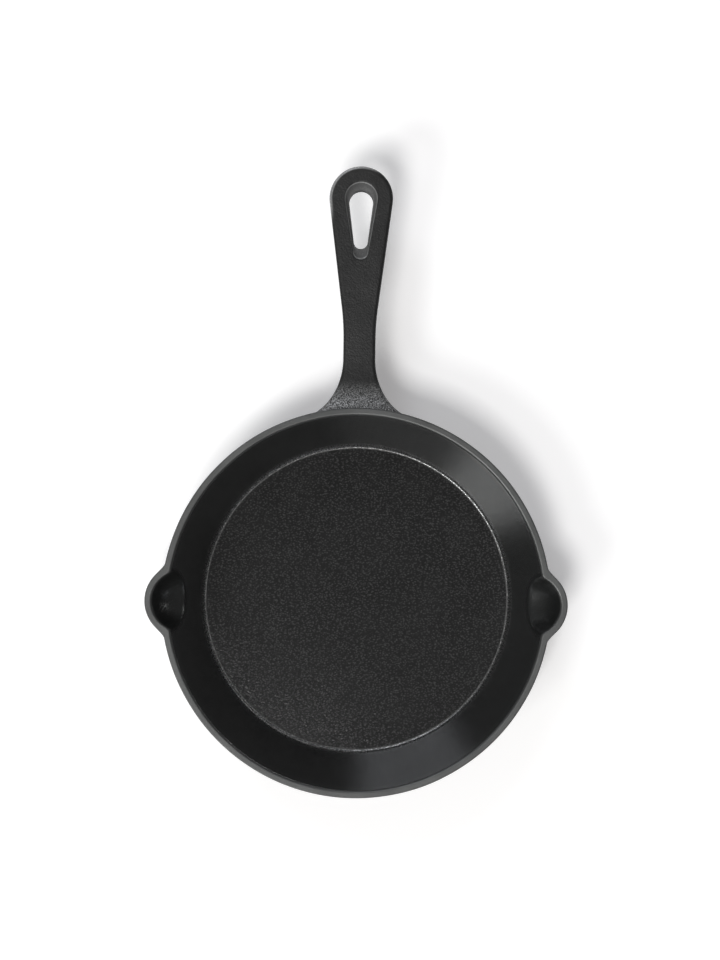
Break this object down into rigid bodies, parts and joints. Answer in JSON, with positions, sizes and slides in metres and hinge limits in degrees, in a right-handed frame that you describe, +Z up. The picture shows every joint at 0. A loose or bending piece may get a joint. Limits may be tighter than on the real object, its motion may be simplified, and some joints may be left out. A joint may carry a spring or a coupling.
{
  "type": "frying pan",
  "caption": "Round cast-iron frying pan with a flared wall, flat rim, opposed pour lips and a tapered handle ending in a teardrop hanging hole.",
  "frame": {"origin": "middle of the flat underside, on the surface the pan rests on", "axes": "+Z up, +Y along the handle from the bowl to the eye, pour lips on the X axis"},
  "size_m": [0.2194, 0.3273, 0.048],
  "materials": {
    "iron_grain": "seasoned, pebbly sand-cast grain",
    "iron_smooth": "seasoned, smooth satin",
    "iron_rim": "ground flat, lighter grey, satin",
    "iron_handle": "seasoned, matt sand-cast grain"
  },
  "bodies": {
    "root": {"pan_floor": "iron_grain", "wall_foot": "iron_smooth", "wall_back": "iron_smooth", "wall_front": "iron_smooth", "pour_lip_right": "iron_smooth", "pour_lip_left": "iron_smooth", "rim_band": "iron_rim", "handle_root": "iron_handle", "handle_shank": "iron_handle", "handle_eye": "iron_handle"}
  },
  "joints": []
}
